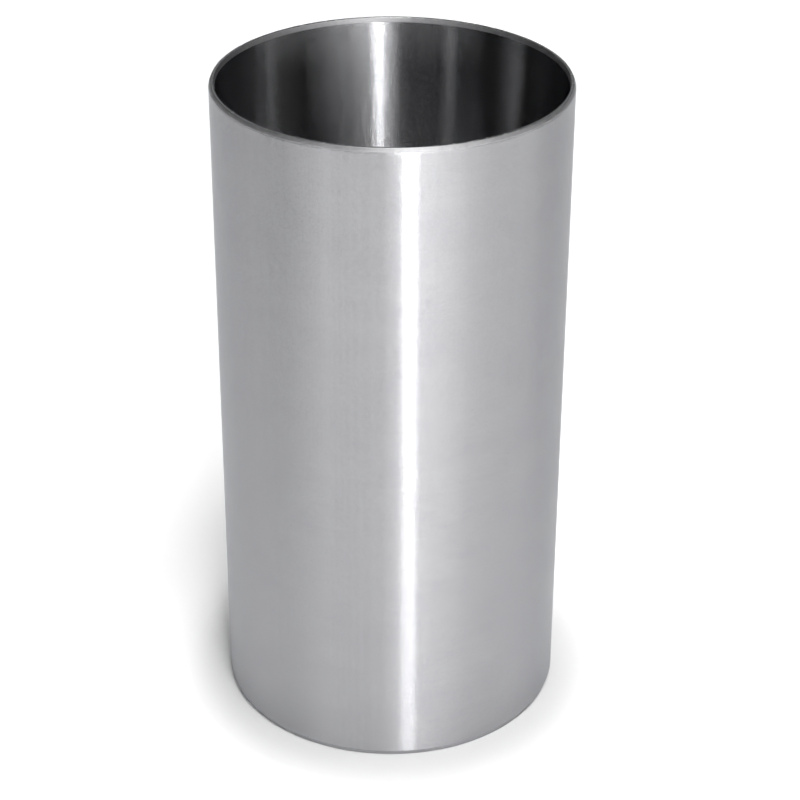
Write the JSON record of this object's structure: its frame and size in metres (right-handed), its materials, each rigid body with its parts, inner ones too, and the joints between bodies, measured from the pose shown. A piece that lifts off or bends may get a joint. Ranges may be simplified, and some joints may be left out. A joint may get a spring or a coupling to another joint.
{
  "type": "cylinder liner",
  "caption": "Thin straight dry liner sleeve with a honed bore and a ground outside, pressed into an engine block for the piston to run in.",
  "frame": {"origin": "centre of the lower end face, on the sleeve's axis", "axes": "+Z along the axis, from the end that enters the block first towards the cylinder head; X and Y are any two radii at right angles"},
  "size_m": [0.1054, 0.1054, 0.203],
  "materials": {
    "machined_cast_iron": "bright satin, ground outside, honed in the bore, turned at the ends"
  },
  "bodies": {
    "root": {"cylinder_liner": "machined_cast_iron"}
  },
  "joints": []
}
